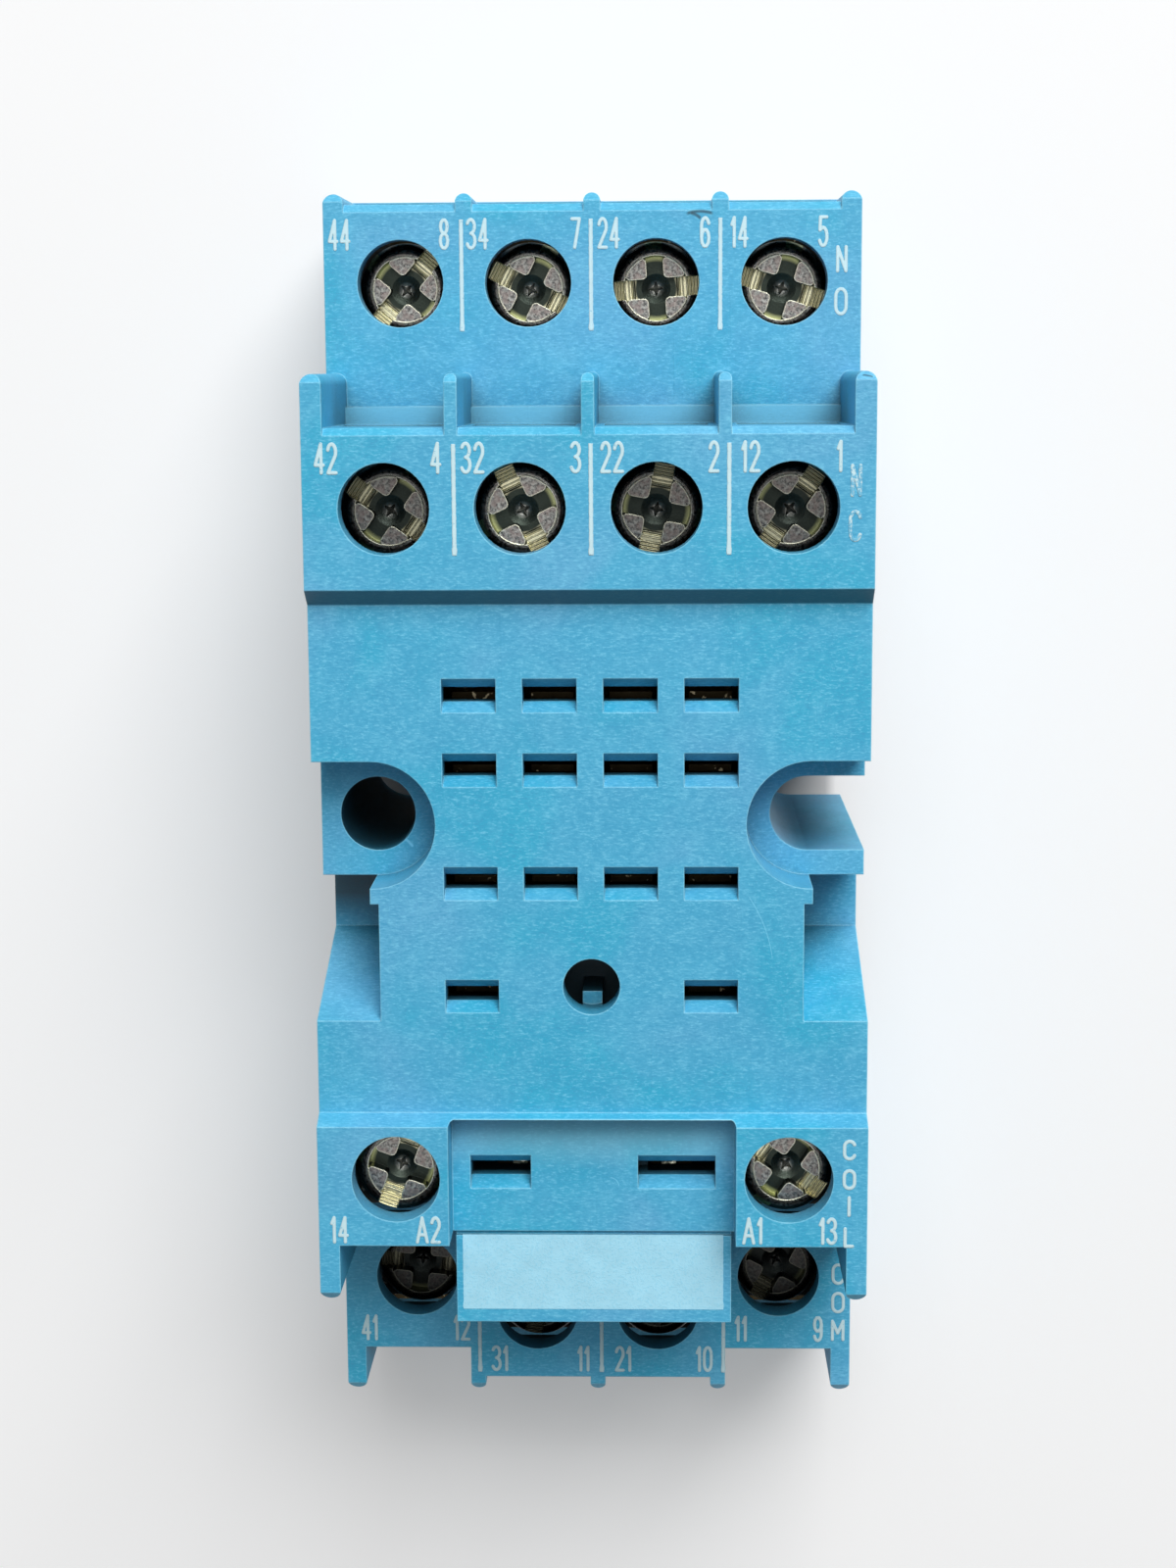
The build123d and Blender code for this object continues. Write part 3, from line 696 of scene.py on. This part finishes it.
# Centre lines of the strokes of each character, in a box from (0, 0) to (1, 1)
GLYPHS = {
    "0": [OVAL],
    "1": [[(0, 0.76), (0.8, 1), (0.8, 0)]],
    "2": [arc(0.5, 0.72, 0.5, 0.28, 165, -25) + [(0, 0), (1, 0)]],
    "3": [arc(0.45, 0.76, 0.5, 0.24, 155, -90), arc(0.45, 0.26, 0.55, 0.26, 90, -155)],
    "4": [[(0.74, 0), (0.74, 1), (0, 0.27), (1, 0.27)]],
    "5": [[(0.95, 1), (0.12, 1), (0.05, 0.55)] + arc(0.48, 0.32, 0.52, 0.32, 125, -155)],
    "6": [arc(0.5, 0.3, 0.5, 0.3, 0, 360), [(0, 0.3)] + arc(0.5, 0.7, 0.5, 0.3, 180, 20)],
    "7": [[(0, 1), (1, 1), (0.35, 0)]],
    "8": [arc(0.5, 0.76, 0.45, 0.24, 0, 360), arc(0.5, 0.26, 0.5, 0.26, 0, 360)],
    "9": [arc(0.5, 0.7, 0.5, 0.3, 0, 360), [(1, 0.7)] + arc(0.5, 0.3, 0.5, 0.3, 0, -160)],
    "A": [[(0, 0), (0.5, 1), (1, 0)], [(0.18, 0.3), (0.82, 0.3)]],
    "C": [arc(0.5, 0.7, 0.5, 0.3, 20, 180) + arc(0.5, 0.3, 0.5, 0.3, 180, 340)],
    "I": [[(0.5, 0), (0.5, 1)]],
    "L": [[(0, 1), (0, 0), (1, 0)]],
    "M": [[(0, 0), (0, 1), (0.5, 0.35), (1, 1), (1, 0)]],
    "N": [[(0, 0), (0, 1), (1, 0), (1, 1)]],
    "O": [OVAL],
}

# Printed widths in millimetres
GLYPH_WIDTH = {"1": 0.36, "A": 0.74}
DIGIT_WIDTH = 0.61
GLYPH_GAP = 0.07
STROKE = 0.19
LINE_WIDTH = 0.23


class Print:
    """Ink on one flat face: strokes and lines, joined into one thin piece. Sizes in millimetres."""

    def __init__(self, name, z):
        self.name = name
        self.z = z
        self.work = bmesh.new()

    def glyph(self, letter, x, y, width, height):
        """One character in strokes of equal width, centred on a point."""
        shapes = []
        for stroke in GLYPHS[letter]:
            line = [(x + (a - 0.5) * (width - STROKE), y + (b - 0.5) * (height - STROKE)) for a, b in stroke]
            shapes += stroke_outlines(line, STROKE)
        fill(self.work, shapes, MM)

    def text(self, text, x, y, height):
        """Number in narrow digits, centred on a point."""
        widths = [GLYPH_WIDTH.get(letter, DIGIT_WIDTH) for letter in text]
        left = x - (sum(widths) + GLYPH_GAP * (len(text) - 1)) / 2
        for letter, width in zip(text, widths):
            self.glyph(letter, left + width / 2, y, width, height)
            left += width + GLYPH_GAP

    def line(self, x, y_low, y_high, width, ragged=0.012):
        """Upright line with ragged sides and a slightly wider lower end."""
        steps = max(2, round((y_high - y_low) / 0.15))
        sides = ([], [])
        for i in range(steps + 1):
            y = y_low + (y_high - y_low) * i / steps
            half = width / 2 + (0.03 if i in (1, 2) else 0)
            for side, sign in zip(sides, (1, -1)):
                wave = math.sin(i * 2.7 + x * 5 + sign) + math.sin(i * 1.3 + x * 3)
                side.append((x + sign * (half + ragged * wave / 2), y))
        fill(self.work, [sides[0] + list(reversed(sides[1]))], MM)

    def finish(self, material):
        """Gives the ink its thickness and puts it on its face."""
        thicken(self.work, self.z, self.z + INK_THICKNESS)
        mesh = bpy.data.meshes.new(self.name)
        self.work.to_mesh(mesh)
        self.work.free()
        return mesh_object(self.name, mesh, material, "root")


def print_numbers(page, y, height, places):
    for text, x in places:
        page.text(text, x, y, height)


def add_lettering(material, worn):
    page = Print("print_no_tier", LOW_TIER)
    print_numbers(page, 32.22, 1.78, (
        ("44", -14.34), ("8", -8.38), ("34", -6.49), ("7", -0.91),
        ("24", 0.95), ("6", 6.41), ("14", 8.34), ("5", 13.07)))
    page.glyph("N", 14.13, 30.69, 0.66, 1.52)
    page.glyph("O", 14.10, 28.33, 0.78, 1.58)
    for x in (-7.41, -0.06, 7.27):
        page.line(x, 26.79, 33.02, LINE_WIDTH)
    page.finish(material)

    page = Print("print_nc_tier", HIGH_TIER)
    print_numbers(page, 20.02, 1.71, (
        ("42", -13.93), ("4", -8.07), ("32", -6.12), ("3", -0.64),
        ("22", 1.28), ("2", 6.67), ("12", 8.61), ("1", 13.31)))
    for x in (-7.14, 0.15, 7.48):
        page.line(x, 14.84, 20.75, LINE_WIDTH)
    page.finish(material)

    page = Print("print_nc_letters", HIGH_TIER)
    page.glyph("N", 14.20, 18.74, 0.62, 1.75)
    page.glyph("C", 14.17, 16.34, 0.73, 1.71)
    page.finish(worn)

    page = Print("print_coil_tier", HIGH_TIER)
    print_numbers(page, -22.66, 1.6, (("14", -14.10), ("A2", -9.14), ("A1", 8.90), ("13", 13.08)))
    for letter, y, width in (("C", -17.99, 0.76), ("O", -19.68, 0.76), ("I", -21.23, 0.3), ("L", -23.02, 0.6)):
        page.glyph(letter, 14.23, y, width, 1.2)
    page.finish(material)

    page = Print("print_com_tier", LOW_TIER)
    print_numbers(page, -32.8, 1.66, (("41", -13.86), ("12", -8.25), ("11", 8.67), ("9", 13.32)))
    print_numbers(page, -34.74, 1.66, (("31", -5.95), ("11", -0.87), ("21", 1.54), ("10", 6.45)))
    for letter, y in (("C", -29.32), ("O", -31.12), ("M", -32.88)):
        page.glyph(letter, 14.52, y, 0.83, 1.36)
    for x in (-7.17, 0.23, 7.61):
        page.line(x, -35.6, -29.2, LINE_WIDTH)
    page.finish(material)


def add_label(material):
    """Pale writing field of the label carrier."""
    page = Print("label_field", RECESS)
    x_low, x_high, y_low, y_high = -7.43, 7.35, -28.23, -23.81
    page.line((x_low + x_high) / 2, y_low, y_high, x_high - x_low)
    page.finish(material)


# Stage

def add_floor():
    shader = Shader("floor")
    tone = shader.mix(shader.noise(30 * MM), FLOOR, tuple(c * 0.98 for c in FLOOR))
    diffuse = shader.node("ShaderNodeBsdfDiffuse", {"Color": tone})
    away = shader.node("ShaderNodeVectorMath", {0: shader.place}, operation="LENGTH").outputs["Value"]
    far = shader.ramp(away, FLOOR_FADE_START, FLOOR_FADE_END)
    shown = shader.node("ShaderNodeBsdfDiffuse", {"Color": shader.mix(far, tone, (0.0, 0.0, 0.0))})
    place = shader.axes()
    along = shader.math("ABSOLUTE", shader.math("ADD", place["Y"], 2.4 * MM))
    # Painted shadow: the floor beneath the socket gets no glow, so it reads as a dark contact shadow
    painted_shadow_under = shader.product(
        shader.ramp(shader.math("ABSOLUTE", place["X"]), 15.2 * MM, 14.5 * MM),
        shader.ramp(along, 36.5 * MM, 35.5 * MM))
    strength = shader.ramp(painted_shadow_under, 0.0, 1.0, FLOOR_GLOW, 0.0)
    strength = shader.math("ADD", strength, shader.product(far, 1 - FLOOR_GLOW))
    glow = shader.node("ShaderNodeEmission", {"Color": (1.0, 1.0, 1.0), "Strength": strength})
    seen = shader.node("ShaderNodeLightPath")
    both = shader.node("ShaderNodeAddShader")
    shader.put(both.inputs[0], shown.outputs[0])
    shader.put(both.inputs[1], glow.outputs[0])
    pick = shader.node("ShaderNodeMixShader")
    rays = shader.math("MAXIMUM", seen.outputs["Is Camera Ray"], seen.outputs["Is Glossy Ray"])
    shader.put(pick.inputs[0], rays)
    shader.put(pick.inputs[1], diffuse.outputs[0])
    shader.put(pick.inputs[2], both.outputs[0])
    shader.node("ShaderNodeOutputMaterial", {"Surface": pick.outputs[0]})
    work = bmesh.new()
    bmesh.ops.create_grid(work, x_segments=1, y_segments=1, size=3.0)
    mesh = bpy.data.meshes.new("floor")
    work.to_mesh(mesh)
    work.free()
    mesh.materials.append(shader.material)
    floor = link(bpy.data.objects.new("floor", mesh))
    floor.location.z = cad_box[0][2] - 0.02 * MM


def add_lamp(name, place, size, power):
    """Square soft box that faces the origin."""
    light = bpy.data.lights.new(name, "AREA")
    light.shape = "SQUARE"
    light.size = size
    light.energy = power
    lamp = link(bpy.data.objects.new(name, light))
    lamp.location = place
    lamp.rotation_euler = (-place).to_track_quat("-Z", "Y").to_euler()


def add_light():
    add_lamp("key", KEY_PLACE, KEY_SIZE, KEY_POWER)
    add_lamp("top", TOP_PLACE, TOP_SIZE, TOP_POWER)
    world = bpy.data.worlds.new("studio")
    bpy.context.scene.world = world
    world.use_nodes = True
    tree = world.node_tree
    back = tree.nodes["Background"]
    back.inputs["Color"].default_value = (1, 1, 1, 1)
    rays = tree.nodes.new("ShaderNodeLightPath").outputs
    shown = rays["Is Camera Ray"]
    for kind in ("Is Glossy Ray", "Is Transmission Ray"):
        either = tree.nodes.new("ShaderNodeMath")
        either.operation = "MAXIMUM"
        tree.links.new(shown, either.inputs[0])
        tree.links.new(rays[kind], either.inputs[1])
        shown = either.outputs[0]
    level = tree.nodes.new("ShaderNodeMapRange")
    level.inputs["To Min"].default_value = WORLD_LEVEL
    level.inputs["To Max"].default_value = 1.0
    tree.links.new(shown, level.inputs["Value"])
    tree.links.new(level.outputs[0], back.inputs["Strength"])


def add_camera():
    data = bpy.data.cameras.new("camera")
    data.lens = CAMERA_LENS
    data.sensor_width = 36
    data.clip_start = 1 * MM
    camera = link(bpy.data.objects.new("camera", data))
    camera.location = CAMERA_PLACE
    camera.rotation_euler = CAMERA_TURN
    bpy.context.scene.camera = camera


# Whole scene

def dress_nodes(prefix, material):
    for name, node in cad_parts.items():
        if name.startswith(prefix):
            node.data.materials.clear()
            node.data.materials.append(material)


bpy.context.scene.view_settings.view_transform = "Standard"
add_camera()
add_light()
add_floor()
dress_nodes("housing", plastic("blue_housing", BLUE, SCRATCHES, NICKS))
dress_nodes("base", plastic("blue_base", tuple(c * 0.93 for c in BLUE)))
dress_nodes("rail_clip", plastic("blue_clip", tuple(c * 0.9 for c in BLUE)))
dress_nodes("clamp_plate", stamped_metal("zinc_plate", ZINC, 0.25 * MM, STEEL))
dress_nodes("contact_strip", stamped_metal("brass_strip", BRASS, 0.3 * MM, BRASS_GLINT))
# Coil strips carry the painted glint band at 4.3 mm either side of the mid-plane
dress_nodes("contact_strip_a", stamped_metal("coil_strip", BRASS, 0.3 * MM, BRASS_GLINT, 4.3 * MM))
dress_nodes("terminal_screw", stamped_metal("screw_steel", STEEL, 0.2 * MM, STEEL_PAINTED_HIGHLIGHT))
add_screws()
add_lettering(ink("ink", 0.62), ink("ink_worn", 0.44))
add_label(label_face())
